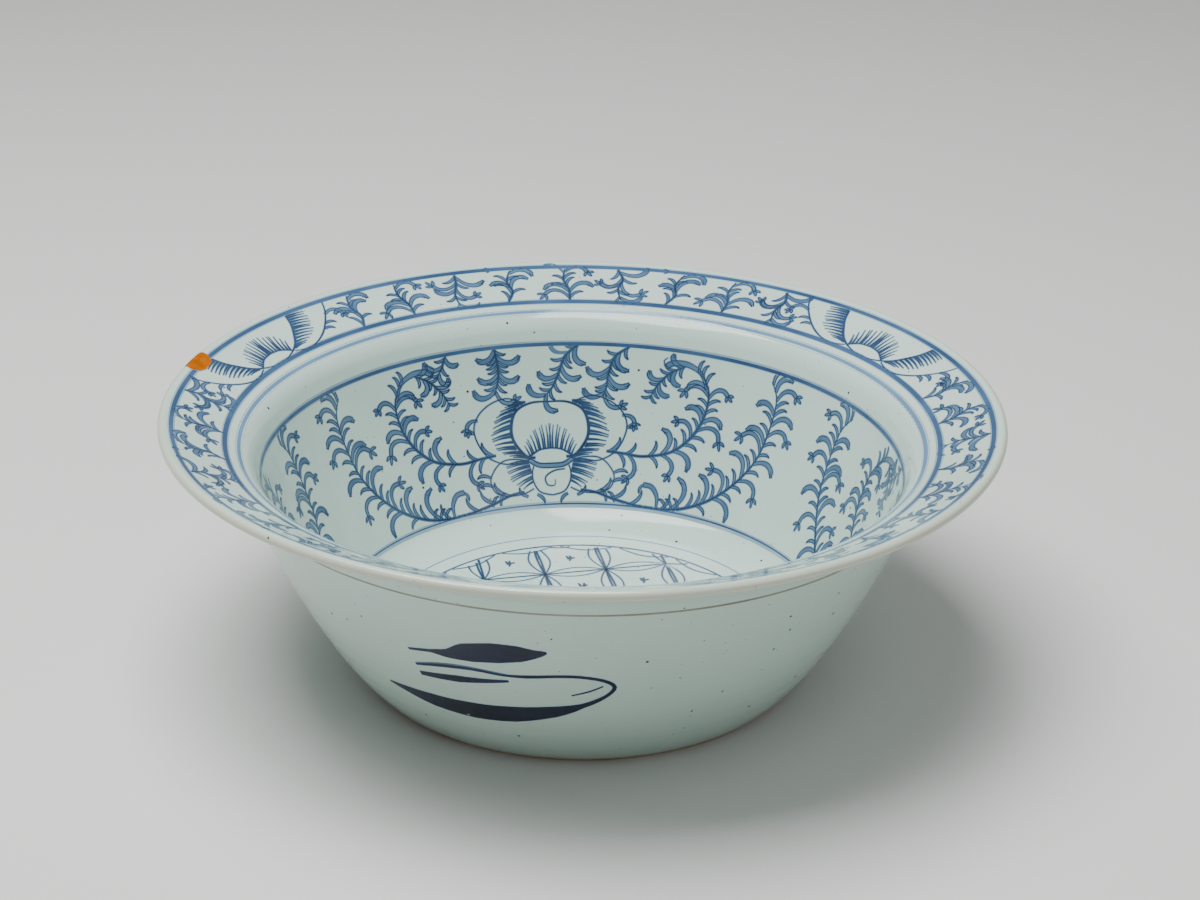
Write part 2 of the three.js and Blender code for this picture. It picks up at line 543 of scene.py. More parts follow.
@dataclass
class WallScroll:
    """Lotus scroll on the inner wall: one third of the way round, in millimetres from the flower's axis."""

    brush: Brush
    radius: float = 130.0
    low: float = 115.1
    height: float = 82.0
    repeats: int = 3
    centre_angle: float = math.radians(97.5)

    def flower(self) -> Painting:
        """Right half of the lotus flower."""
        half = Painting()
        line = self.brush.line
        edge = [(8.2, 24.6), (13.5, 26), (19.2, 34), (19.6, 42), (16.5, 49), (9, 52.6), (0, 52.9)]
        half.lines.append(taper(smooth(edge, 5), line * 2.2, line * 2.6, line * 1.2))
        side = [(11, 24), (18, 22.6), (26, 23), (33.5, 27), (38, 34), (39.4, 42), (36, 49), (29, 54),
                (21, 55.8), (14, 53.5)]
        half.lines.append(taper(smooth(side, 4), line * 1.1, line * 1.2, line * 1.1))
        self.brush.hatch([(11.5, 24.6), (18.6, 31), (20.2, 42), (16, 50.5), (11, 53.2)],
                         [(21, 25.8), (29.6, 31), (30.6, 39), (26.5, 47.5), (18, 54)], 20, half, 0.26)
        self.brush.hatch([(0.2, 29.2), (6, 28.6), (11.5, 25.6)],
                         [(0.4, 43.2), (9, 39.5), (14.2, 30.5)], 10, half, 0.18)
        lens_top = [(0, 29.2), (6, 28.4), (12, 25)]
        lens_low = [(0, 21.4), (6.5, 21.8), (12, 25)]
        half.lines.append(taper(smooth(lens_top, 5), line * 1.1, line * 1.2, line * 2))
        half.lines.append(taper(smooth(lens_low, 5), line * 1.1, line * 1.2, line * 1.6))
        half.lines.append(taper(smooth([(0, 19.2), (7, 19.8), (13.5, 23.6)], 5), line, line, line))
        half.washes.append(taper(smooth([(0, 20.3), (7, 20.8), (13, 24)], 5), 1.1, 0.9, 0.3))
        low_petal = [(12, 23), (17, 24.4), (25, 24.6), (30.5, 21.5), (34.6, 15.5), (33, 9.4), (27, 6.6),
                     (17, 6.6), (10.4, 9)]
        half.lines.append(taper(smooth(low_petal, 4), line, line * 1.2, line))
        self.brush.hatch([(12.5, 23.4), (11, 19), (10.8, 12)],
                         [(25.5, 22.4), (24, 15.5), (16.5, 8.2)], 11, half, 0.22)
        throat = [(9.5, 20.6), (10.6, 17), (10.2, 12), (6.8, 7), (0, 5.2)]
        half.lines.append(taper(smooth(throat, 4), line, line * 1.3, line))
        self.brush.leaf((36.5, 46.5), (0.75, 0.66), -1, 8, "claw", half)
        self.brush.leaf((39.4, 40), (0.2, 0.98), -1, 6, "small", half)
        self.brush.leaf((34.4, 17), (0.4, 0.9), -1, 6.5, "small", half)
        self.brush.leaf((33.4, 12), (0.4, 0.9), -1, 6, "small", half)
        self.brush.leaf((9, 6), (-0.95, 0.2), 1, 5.5, "small", half)
        self.brush.leaf((14, 5), (0.9, -0.2), 1, 6, "small", half)
        return half

    def curl(self) -> Painting:
        """Small curled line in the flower's lowest petal, which has no mirror image."""
        one = Painting()
        spiral = [(7.5, 18.4), (1.5, 17.6), (-3.4, 14.6), (-2.6, 10.6), (1.4, 10.2), (1.9, 13.2)]
        one.lines.append(taper(smooth(spiral, 4), self.brush.line, self.brush.line * 1.3, 0.12))
        return one

    def stems(self) -> Painting:
        """Right half of the stems between two flowers."""
        half = Painting()
        inner = [(29.5, 27.7), (38.3, 27.1), (49.5, 26.5), (63.3, 30.2), (72, 37.7), (77, 46.5),
                 (78.9, 55.2), (78.3, 64),
                 (75, 70), (70.8, 74)]
        self.brush.frond(inner, ("s s shsscshssch   ", " sc schsschssc sss"), (13.5, 10.5), half)
        top = [(76.5, 66), (73, 72.5), (66, 75.8), (59, 75.4), (55.8, 73)]
        self.brush._shape(smooth(top, 4), [0.4 + 0.9 * min(i / 8, 1) for i in range(17)], half)
        half.lines.append(taper(smooth([(55.8, 73), (54.6, 76), (56.4, 78)], 3), 0.2, 0.3, 0.15))
        twig = [(65, 74.6), (58, 70), (52.5, 63), (49.5, 56)]
        self.brush.frond(twig, ("shsshss", "hsshsss"), (9.0, 7.0), half, 0.34)
        outer = [(16, 7.6), (24.5, 6.6), (35.8, 3.4), (49.5, 1.2), (64.5, 1.2), (75.8, 3.2), (87, 8),
                 (97, 15.2), (105.8, 25.2),
                 (112, 36.5), (114.5, 49), (115.1, 61.5), (113.9, 70.2), (109.5, 77)]
        plan = ("  s s s  sh sshscsshsschssh    ", "      s s  s schsscshsschsschs")
        self.brush.frond(outer, plan, (16.5, 11.0), half)
        branch = [(60.8, 1.8), (60.2, 7), (56.5, 11.5), (51.5, 12.2)]
        self.brush._shape(smooth(branch, 4), [0.5 + 0.6 * min(i / 6, 1) for i in range(13)], half)
        self.brush.leaf((51.5, 12.2), (-0.9, -0.1), 1, 4.5, "small", half)
        for x, lean in ((66.5, 0.1), (70, 0.3), (74, 0.4), (31, 0.5), (36, 0.3)):
            self.brush.leaf((x, 2), (lean, 0.95), 1, 5.5, "small", half)
        return half

    def hanging(self) -> Painting:
        """Sprays that hang over the flower from the top line."""
        sprays = Painting()
        self.brush.frond([(-24.5, 81.5), (-23.5, 74), (-23.8, 66), (-26.5, 58)],
                         ("shsshssc", "hssshssh"), (9.5, 10), sprays, 0.4)
        self.brush.frond([(14.5, 81.5), (8.5, 76), (5.5, 68), (2, 60), (-2.5, 55)],
                         ("hsshsssh", "shsshssh"), (9.5, 10), sprays, 0.4)
        self.brush.frond([(38, 81.5), (31.5, 76), (29, 68), (28, 60), (26.5, 56)],
                         ("shsshssc", "hsshsssh"), (9.5, 10), sprays, 0.4)
        self.brush.frond([(-48, 81.5), (-50.5, 76), (-54, 71)], ("hsh", "shs"), (8, 8), sprays, 0.34)
        return sprays

    def unit(self) -> Painting:
        """Everything that repeats round the wall."""
        unit = self.flower().mirrored()
        unit.add(self.curl(), lambda p: p)
        unit.add(self.stems().mirrored(), lambda p: p)
        unit.add(self.hanging(), lambda p: p)
        return unit


@dataclass
class RimScroll:
    """Lotus sprigs on the rim: one third of the way round, in millimetres from the flower's axis."""

    brush: Brush
    radius: float = 172.0
    low: float = 221.6
    height: float = 24.9
    repeats: int = 3
    centre_angle: float = math.radians(33.5)

    def flower(self) -> Painting:
        """Right half of a rim flower."""
        half = Painting()
        line = self.brush.line
        edge = [(13.8, 3.2), (19, 6.2), (24, 11.5), (28, 17.5), (30, 23.6)]
        half.lines.append(taper(smooth(edge, 5), line * 1.6, line * 2.2, line * 1.6))
        petal = [(14.5, 2.6), (21, 0.9), (30, 1.4), (39, 5.5), (46, 11.5), (51, 18), (53.5, 23.8)]
        half.lines.append(taper(smooth(petal, 5), line, line * 1.4, line * 1.2))
        self.brush.hatch([(16, 4), (24, 11), (28.6, 18), (30.4, 23.4)],
                         [(25.5, 4.4), (35.5, 9), (39.5, 16), (41.5, 22.6)], 13, half, 0.28)
        self.brush.hatch([(0, 7.6), (7, 6.8), (13.2, 3.8)],
                         [(0, 20.4), (9.5, 18.4), (16.6, 10.5)], 9, half, 0.27)
        half.lines.append(taper(smooth([(0, 7.6), (7, 6.7), (13.8, 3.2)], 5), line, line * 1.2, line * 1.6))
        half.lines.append(taper(smooth([(0, 0.9), (7, 1.1), (13.8, 3.2)], 5), line, line, line * 1.4))
        self.brush.leaf((49.5, 16), (0.5, 0.86), -1, 9.5, "claw", half)
        self.brush.leaf((45, 10.4), (0.6, 0.8), -1, 5.5, "small", half)
        self.brush.leaf((42, 7.5), (0.7, 0.7), -1, 5.0, "small", half)
        return half

    def unit(self) -> Painting:
        """Everything that repeats round the rim."""
        unit = self.flower().mirrored()
        chance = self.brush.chance
        places = (66, 94, 123, 152, 181, -151, -122, -94, -65)
        for index, x in enumerate(places):
            lean = chance.uniform(-3.5, 3.5)
            stem = [(x + lean, 1.0), (x + lean * 0.2 + 1.2, 8), (x - 1.0, 15.5), (x + 0.6 - lean * 0.4, 23.4)]
            if index % 3 == 2:
                stem = [(p[0], 24.6 - p[1]) for p in stem]
            plan = (("shssc", "cshsh"), ("chssh", "shssc"), ("hscsh", "schss"))[index % 3]
            self.brush.frond(stem, plan, (13.0, 11.0), unit, 0.42)
        return unit


@dataclass
class WellLattice:
    """Cash lattice on the well floor, seen from above, in millimetres from the axis."""

    brush: Brush
    edge: float = 86.6
    turn: float = math.radians(12.5)
    spacing: float = 30.5
    origin: Point = (-17.7, 56.4)

    def _node(self, i: int, j: int) -> Point:
        """Crossing of the lattice."""
        c, s = math.cos(self.turn), math.sin(self.turn)
        return (
            self.origin[0] + self.spacing * (i * c - j * s),
            self.origin[1] + self.spacing * (i * s + j * c),
        )

    def _clipped(self, points: list[Point], weight: float, painting: Painting) -> None:
        """Keep the stretch of a line that lies within the ring."""
        inside = [p for p in points if math.hypot(*p) < self.edge]
        if len(inside) > 3:
            painting.lines.append(taper(inside, weight * 1.2, weight, weight * 1.2))

    def _edge(self, a: Point, b: Point, painting: Painting, upright: bool) -> None:
        """Two petals between neighbouring crossings, with their midribs."""
        run = (b[0] - a[0], b[1] - a[1])
        out = (-run[1], run[0])
        bows = (-0.17, -0.025, 0.025, 0.17) if upright else (-0.15, 0.0, 0.15)
        for bow in bows:
            points = []
            for step in range(13):
                t = step / 12
                swell = bow * math.sin(math.pi * t)
                points.append((a[0] + run[0] * t + out[0] * swell, a[1] + run[1] * t + out[1] * swell))
            self._clipped(points, 0.5 if abs(bow) < 0.1 else 0.34, painting)

    def whole(self) -> Painting:
        """The lattice with the small marks in its cells."""
        painting = Painting()
        chance = self.brush.chance
        for i in range(-6, 7):
            for j in range(-7, 5):
                here = self._node(i, j)
                if math.hypot(*here) > self.edge + self.spacing:
                    continue
                self._edge(here, self._node(i + 1, j), painting, False)
                self._edge(here, self._node(i, j + 1), painting, True)
                middle = self._node(i + 0.5, j + 0.5)
                if math.hypot(*middle) < self.edge - 7:
                    for dx, dy, px, py in CELL_MARKS:
                        wobble = chance.uniform(-0.5, 0.5)
                        mark = [(middle[0] + dx + wobble, middle[1] + dy),
                                (middle[0] + px, middle[1] + py + wobble)]
                        centre = ((mark[0][0] + mark[1][0]) / 2 + 0.4, (mark[0][1] + mark[1][1]) / 2)
                        painting.lines.append(taper(smooth([mark[0], centre, mark[1]], 2), 0.3, 0.75, 0.2))
        for k in range(18):
            first, last = 2 * math.pi * k / 18, 2 * math.pi * (k + 0.86) / 18
            arc = []
            for step in range(9):
                t = step / 8
                radius = self.edge - 3.4 * math.sin(math.pi * t)
                arc.append((radius * math.cos(lerp(first, last, t)), radius * math.sin(lerp(first, last, t))))
            painting.lines.append(taper(arc, 0.26, 0.34, 0.26))
        return painting


@dataclass
class OutsideMark:
    """Quick leaf and loop brushed on the outside, in millimetres from the leaf's middle."""

    radius: float = 138.0
    centre_angle: float = math.radians(255.0)

    def _at(self, degrees: float, height: float) -> Point:
        """Turn an angle and a height on the wall into a point."""
        return (math.radians(degrees) - self.centre_angle) * self.radius, height

    def whole(self) -> Painting:
        """The leaf, the two dashes and the loop that runs out into a crescent."""
        painting = Painting()
        at = self._at
        leaf = [at(239.5, 74), at(244, 76.5), at(247.6, 77.4), at(251, 80.4), at(256, 83),
                at(260, 84.2), at(262.6, 85), at(264.6, 86.4)]
        painting.lines.append(Stroke(smooth(leaf, 3), [
            lerp(a, b, k / 3)
            for a, b in zip((0.5, 0.8, 2.8, 5.6, 6.2, 5.0, 2.6), (0.8, 2.8, 5.6, 6.2, 5.0, 2.6, 0.5))
            for k in range(3)
        ] + [0.4]))
        dash = smooth([at(239.8, 64.2), at(245, 68), at(251, 69.8), at(258, 68.6)], 4)
        painting.washes.append(taper(dash, 0.9, 1.7, 0.9))
        loop = [at(239.8, 64), at(245, 67.6), at(251, 69.6), at(256.5, 68.6), at(261, 69.2),
                at(266, 70.8), at(270, 70.8), at(274, 68.2), at(276, 63.6), at(274.6, 57),
                at(270.5, 50), at(265, 44.6), at(257, 40), at(248.5, 38),
                at(240, 38.4), at(233.5, 40.2), at(229.8, 41.4)]
        sizes = (0.5, 0.9, 0.8, 0.6, 0.9, 0.8, 0.8, 0.8, 0.8, 0.8, 1.5, 4.0, 5.8, 6.0, 4.8, 2.2, 0.3)
        widths = [lerp(a, b, k / 3) for a, b in zip(sizes, sizes[1:]) for k in range(3)] + [sizes[-1]]
        painting.lines.append(Stroke(smooth(loop, 3), widths))
        low_dash = smooth([at(240, 58), at(245, 59.6), at(251, 61.8), at(257.6, 64.8)], 4)
        painting.lines.append(taper(low_dash, 1.2, 2.2, 0.5))
        hair = smooth([at(268.5, 57.5), at(271.6, 60.6), at(274, 64.4)], 4)
        painting.lines.append(taper(hair, 0.2, 0.35, 0.2))
        return painting


@dataclass(frozen=True)
class RingLine:
    """A painted ring: its name, its distance along the surface, half-width and wobble in millimetres."""

    name: str
    path_length: float
    half_width: float
    wobble: float

    def stroke(self, radius: float, seed: int) -> Stroke:
        """One turn of the ring as a stroke that closes on itself.

        Args:
            radius: Radius at which the stroke is laid out flat.
            seed: Seed of its wobble.

        Returns:
            The stroke.
        """
        chance = random.Random(seed)
        waves = [(k, chance.uniform(0, 2 * math.pi), chance.uniform(0.4, 1) / k) for k in (2, 3, 5, 8, 13)]
        points, widths = [], []
        for i in range(RING_STEPS + 1):
            angle = 2 * math.pi * (i % RING_STEPS) / RING_STEPS
            wave = sum(size * math.sin(k * angle + shift) for k, shift, size in waves)
            body = sum(size * math.sin(k * angle - shift) for k, shift, size in waves)
            points.append((2 * math.pi * radius * i / RING_STEPS, self.path_length + self.wobble * wave))
            widths.append(self.half_width * (1 + 0.16 * body))
        return Stroke(points, widths)


class NodeTree:
    """Small helper that places nodes and joins them."""

    def __init__(self, tree: bpy.types.NodeTree) -> None:
        """Keep the tree."""
        self.tree = tree

    def node(self, kind: str, **settings: object) -> bpy.types.Node:
        """Add a node.

        Args:
            kind: Blender's name for the node's type.
            settings: Properties to set on the node.

        Returns:
            The node.
        """
        node = self.tree.nodes.new(kind)
        for name, value in settings.items():
            setattr(node, name, value)
        return node

    def link(self, source: bpy.types.NodeSocket, target: bpy.types.NodeSocket) -> None:
        """Join two sockets."""
        self.tree.links.new(source, target)

    def math(self, operation: str, first: object, second: object = None,
             third: object = None) -> bpy.types.NodeSocket:
        """Add a math node and return its value.

        Args:
            operation: Blender's name for the operation.
            first: Socket or number.
            second: Socket or number, where the operation has one.
            third: Socket or number, where the operation has one.

        Returns:
            The socket of the result.
        """
        node = self.node("ShaderNodeMath", operation=operation)
        for index, value in enumerate((first, second, third)):
            if value is None:
                continue
            if isinstance(value, bpy.types.NodeSocket):
                self.link(value, node.inputs[index])
            else:
                node.inputs[index].default_value = value
        return node.outputs[0]


def socket_id(tree: bpy.types.NodeTree, name: str) -> str:
    """Identifier of a tree's named input."""
    return next(item.identifier for item in tree.interface.items_tree
                if item.item_type == "SOCKET" and item.in_out == "INPUT" and item.name == name)


def add_warp(nodes: NodeTree, position: bpy.types.NodeSocket) -> bpy.types.NodeSocket:
    """Give a thrown pot's slight ovality and lean to positions, the same on every piece.

    Args:
        nodes: Helper of the tree.
        position: Positions on the true form.

    Returns:
        The socket of the moved positions.
    """
    split = nodes.node("ShaderNodeSeparateXYZ")
    nodes.link(position, split.inputs[0])
    x, y, z = split.outputs
    angle = nodes.math("ARCTAN2", y, x)
    high = nodes.math("MULTIPLY", z, 1 / 0.1269)
    high = nodes.math("MULTIPLY", high, high)
    oval = nodes.math("MULTIPLY", nodes.math("COSINE", nodes.math("MULTIPLY_ADD", angle, 2.0, 0.7)), 0.0012)
    scale = nodes.math("MULTIPLY_ADD", oval, high, 0.9985)
    lift = nodes.math("MULTIPLY", nodes.math("SINE", nodes.math("MULTIPLY_ADD", angle, 3.0, 1.1)), 0.00025)
    join = nodes.node("ShaderNodeCombineXYZ")
    nodes.link(nodes.math("MULTIPLY", x, scale), join.inputs[0])
    nodes.link(nodes.math("MULTIPLY", y, scale), join.inputs[1])
    nodes.link(nodes.math("ADD", z, nodes.math("MULTIPLY", lift, high)), join.inputs[2])
    return join.outputs[0]


def turning_tree() -> bpy.types.NodeTree:
    """Build the tree that turns an outline round the axis into a closed surface."""
    tree = bpy.data.node_groups.new("turn_outline", "GeometryNodeTree")
    for name, kind in (("Geometry", "NodeSocketGeometry"), ("Segments", "NodeSocketInt"),
                       ("Seed", "NodeSocketInt"),
                       ("Material", "NodeSocketMaterial")):
        tree.interface.new_socket(name, in_out="INPUT", socket_type=kind)
    tree.interface.new_socket("Geometry", in_out="OUTPUT", socket_type="NodeSocketGeometry")
    nodes = NodeTree(tree)
    source = nodes.node("NodeGroupInput")
    size = nodes.node("GeometryNodeAttributeDomainSize", component="MESH")
    nodes.link(source.outputs["Geometry"], size.inputs[0])
    rows = size.outputs["Point Count"]
    grid = nodes.node("GeometryNodeMeshGrid")
    nodes.link(nodes.math("ADD", source.outputs["Segments"], 1), grid.inputs["Vertices X"])
    nodes.link(rows, grid.inputs["Vertices Y"])
    index = nodes.node("GeometryNodeInputIndex").outputs[0]
    row = nodes.math("FLOORED_MODULO", index, rows)
    column = nodes.math("FLOOR", nodes.math("DIVIDE", nodes.math("ADD", index, 0.01), rows))
    position = nodes.node("GeometryNodeInputPosition").outputs[0]
    sample = nodes.node("GeometryNodeSampleIndex", data_type="FLOAT_VECTOR", domain="POINT")
    nodes.link(source.outputs["Geometry"], sample.inputs["Geometry"])
    nodes.link(position, sample.inputs["Value"])
    nodes.link(row, sample.inputs["Index"])
    split = nodes.node("ShaderNodeSeparateXYZ")
    nodes.link(sample.outputs[0], split.inputs[0])
    column = nodes.math("FLOORED_MODULO", column, source.outputs["Segments"])
    share = nodes.math("DIVIDE", column, source.outputs["Segments"])
    angle = nodes.math("MULTIPLY", share, 2 * math.pi)
    join = nodes.node("ShaderNodeCombineXYZ")
    nodes.link(nodes.math("MULTIPLY", split.outputs[0], nodes.math("COSINE", angle)), join.inputs[0])
    nodes.link(nodes.math("MULTIPLY", split.outputs[0], nodes.math("SINE", angle)), join.inputs[1])
    nodes.link(split.outputs[2], join.inputs[2])
    place = nodes.node("GeometryNodeSetPosition")
    nodes.link(grid.outputs["Mesh"], place.inputs["Geometry"])
    nodes.link(add_warp(nodes, join.outputs[0]), place.inputs["Position"])
    weld = nodes.node("GeometryNodeMergeByDistance")
    weld.inputs["Distance"].default_value = 1e-7
    nodes.link(place.outputs[0], weld.inputs["Geometry"])
    shade = nodes.node("GeometryNodeSetShadeSmooth")
    nodes.link(weld.outputs[0], shade.inputs["Geometry"])
    finish_tree(nodes, shade.outputs[0], source)
    return tree


def finish_tree(nodes: NodeTree, geometry: bpy.types.NodeSocket, source: bpy.types.Node) -> None:
    """End a geometry tree in Realize Instances and Set Material.

    Args:
        nodes: Helper of the tree.
        geometry: Socket of the shape.
        source: Input node of the tree.
    """
    real = nodes.node("GeometryNodeRealizeInstances")
    nodes.link(geometry, real.inputs[0])
    paint = nodes.node("GeometryNodeSetMaterial")
    nodes.link(real.outputs[0], paint.inputs["Geometry"])
    nodes.link(source.outputs["Material"], paint.inputs["Material"])
    end = nodes.node("NodeGroupOutput")
    nodes.link(paint.outputs[0], end.inputs[0])


def wrapping_tree() -> bpy.types.NodeTree:
    """Build the tree that turns flat strokes into ribbons, repeats them and lays them on the form."""
    tree = bpy.data.node_groups.new("lay_strokes", "GeometryNodeTree")
    inputs = (
        ("Geometry", "NodeSocketGeometry"), ("Path", "NodeSocketObject"), ("Angle", "NodeSocketFloat"),
        ("Turn", "NodeSocketFloat"), ("Side", "NodeSocketFloat"), ("Polar", "NodeSocketBool"),
        ("Lift", "NodeSocketFloat"), ("Depth", "NodeSocketFloat"), ("Count", "NodeSocketInt"),
        ("Pitch", "NodeSocketFloat"), ("Across", "NodeSocketInt"), ("Caps", "NodeSocketBool"),
        ("Seed", "NodeSocketInt"), ("Material", "NodeSocketMaterial"),
    )
    for name, kind in inputs:
        tree.interface.new_socket(name, in_out="INPUT", socket_type=kind)
    tree.interface.new_socket("Geometry", in_out="OUTPUT", socket_type="NodeSocketGeometry")
    nodes = NodeTree(tree)
    source = nodes.node("NodeGroupInput")
    upright = nodes.node("GeometryNodeSetCurveNormal")
    if "Mode" in upright.inputs:
        upright.inputs["Mode"].default_value = "Z Up"
    else:
        upright.mode = "Z_UP"
    nodes.link(source.outputs["Geometry"], upright.inputs["Curve"])
    section = nodes.node("GeometryNodeCurvePrimitiveQuadrilateral")
    section.inputs["Width"].default_value = 2.0
    section.inputs["Height"].default_value = 0.5
    cut = nodes.node("GeometryNodeSubdivideCurve")
    nodes.link(section.outputs[0], cut.inputs["Curve"])
    nodes.link(source.outputs["Across"], cut.inputs["Cuts"])
    ribbon = nodes.node("GeometryNodeCurveToMesh")
    nodes.link(upright.outputs[0], ribbon.inputs["Curve"])
    nodes.link(cut.outputs[0], ribbon.inputs["Profile Curve"])
    nodes.link(source.outputs["Caps"], ribbon.inputs["Fill Caps"])
    if "Scale" in ribbon.inputs:
        radius = nodes.node("GeometryNodeInputRadius")
        nodes.link(radius.outputs[0], ribbon.inputs["Scale"])
    line = nodes.node("GeometryNodeMeshLine")
    nodes.link(source.outputs["Count"], line.inputs["Count"])
    step = nodes.node("ShaderNodeCombineXYZ")
    nodes.link(source.outputs["Pitch"], step.inputs[0])
    nodes.link(step.outputs[0], line.inputs["Offset"])
    copies = nodes.node("GeometryNodeInstanceOnPoints")
    nodes.link(line.outputs[0], copies.inputs["Points"])
    nodes.link(ribbon.outputs[0], copies.inputs["Instance"])
    real = nodes.node("GeometryNodeRealizeInstances")
    nodes.link(copies.outputs[0], real.inputs[0])
    split = nodes.node("ShaderNodeSeparateXYZ")
    nodes.link(nodes.node("GeometryNodeInputPosition").outputs[0], split.inputs[0])
    x, y, z = split.outputs
    path = nodes.node("GeometryNodeObjectInfo")
    nodes.link(source.outputs["Path"], path.inputs["Object"])
    far = nodes.math("SQRT", nodes.math("ADD", nodes.math("MULTIPLY", x, x), nodes.math("MULTIPLY", y, y)))
    polar_angle = nodes.math("ARCTAN2", y, x)
    band_angle = nodes.math("ADD", source.outputs["Angle"], nodes.math("MULTIPLY", x, source.outputs["Turn"]))
    angle = switch(nodes, source.outputs["Polar"], band_angle, polar_angle)
    length = switch(nodes, source.outputs["Polar"], y, far)
    sample = nodes.node("GeometryNodeSampleCurve", mode="LENGTH", data_type="FLOAT")
    nodes.link(path.outputs["Geometry"], sample.inputs["Curves"])
    nodes.link(length, sample.inputs["Length"])
    on_path = nodes.node("ShaderNodeSeparateXYZ")
    nodes.link(sample.outputs["Position"], on_path.inputs[0])
    heading = nodes.node("ShaderNodeSeparateXYZ")
    nodes.link(sample.outputs["Tangent"], heading.inputs[0])
    above = nodes.math("GREATER_THAN", z, 0.0)
    rise = nodes.math("ADD", source.outputs["Lift"], source.outputs["Depth"])
    height = nodes.math("SUBTRACT", nodes.math("MULTIPLY", above, rise),
                        source.outputs["Depth"])
    height = nodes.math("MULTIPLY", height, source.outputs["Side"])
    out_r = nodes.math("SUBTRACT", on_path.outputs[0], nodes.math("MULTIPLY", heading.outputs[2], height))
    out_z = nodes.math("ADD", on_path.outputs[2], nodes.math("MULTIPLY", heading.outputs[0], height))
    join = nodes.node("ShaderNodeCombineXYZ")
    nodes.link(nodes.math("MULTIPLY", out_r, nodes.math("COSINE", angle)), join.inputs[0])
    nodes.link(nodes.math("MULTIPLY", out_r, nodes.math("SINE", angle)), join.inputs[1])
    nodes.link(out_z, join.inputs[2])
    place = nodes.node("GeometryNodeSetPosition")
    nodes.link(real.outputs[0], place.inputs["Geometry"])
    nodes.link(add_warp(nodes, join.outputs[0]), place.inputs["Position"])
    weld = nodes.node("GeometryNodeMergeByDistance")
    weld.inputs["Distance"].default_value = 2e-7
    nodes.link(place.outputs[0], weld.inputs["Geometry"])
    flat = nodes.node("GeometryNodeSetShadeSmooth")
    flat.inputs["Shade Smooth"].default_value = False
    nodes.link(weld.outputs[0], flat.inputs["Geometry"])
    finish_tree(nodes, flat.outputs[0], source)
    return tree


def switch(nodes: NodeTree, choice: bpy.types.NodeSocket, off: bpy.types.NodeSocket,
           on: bpy.types.NodeSocket) -> bpy.types.NodeSocket:
    """Choose between two numbers in a geometry tree.

    Args:
        nodes: Helper of the tree.
        choice: Socket that is true for the second number.
        off: First number.
        on: Second number.

    Returns:
        The socket of the chosen number.
    """
    node = nodes.node("GeometryNodeSwitch", input_type="FLOAT")
    nodes.link(choice, node.inputs["Switch"])
    nodes.link(off, node.inputs["False"])
    nodes.link(on, node.inputs["True"])
    return node.outputs[0]


def shader_group(
    name: str, inputs: Sequence[tuple[str, str, object]], outputs: Sequence[tuple[str, str]],
) -> tuple[bpy.types.NodeTree, NodeTree, bpy.types.Node, bpy.types.Node]:
    """Start a shader node group.

    Args:
        name: Name of the group.
        inputs: Name, socket type and default of each input.
        outputs: Name and socket type of each output.

    Returns:
        The tree, its helper, its input node and its output node.
    """
    tree = bpy.data.node_groups.new(name, "ShaderNodeTree")
    for label, kind, default in inputs:
        tree.interface.new_socket(label, in_out="INPUT", socket_type=kind).default_value = default
    for label, kind in outputs:
        tree.interface.new_socket(label, in_out="OUTPUT", socket_type=kind)
    nodes = NodeTree(tree)
    return tree, nodes, nodes.node("NodeGroupInput"), nodes.node("NodeGroupOutput")


def mottle_group() -> bpy.types.NodeTree:
    """Group that varies a colour softly over the surface, as a hand-brushed or fired layer does."""
    tree, nodes, start, end = shader_group(
        "mottle",
        (("Colour", "NodeSocketColor", (0.5, 0.5, 0.5, 1)), ("Deep", "NodeSocketColor", (0.3, 0.3, 0.3, 1)),
         ("Scale", "NodeSocketFloat", 12.0), ("Amount", "NodeSocketFloat", 0.5)),
        (("Colour", "NodeSocketColor"), ("Mask", "NodeSocketFloat")),
    )
    coords = nodes.node("ShaderNodeTexCoord")
    noise = nodes.node("ShaderNodeTexNoise")
    noise.inputs["Detail"].default_value = 4.0
    nodes.link(coords.outputs["Object"], noise.inputs["Vector"])
    nodes.link(start.outputs["Scale"], noise.inputs["Scale"])
    mask = nodes.node("ShaderNodeMapRange")
    mask.inputs["From Min"].default_value = 0.34
    mask.inputs["From Max"].default_value = 0.66
    nodes.link(noise.outputs["Fac"], mask.inputs["Value"])
    mix = nodes.node("ShaderNodeMix", data_type="RGBA")
    nodes.link(nodes.math("MULTIPLY", mask.outputs[0], start.outputs["Amount"]), mix.inputs["Factor"])
    nodes.link(start.outputs["Colour"], mix.inputs["A"])
    nodes.link(start.outputs["Deep"], mix.inputs["B"])
    nodes.link(mix.outputs["Result"], end.inputs["Colour"])
    nodes.link(mask.outputs[0], end.inputs["Mask"])
    return tree


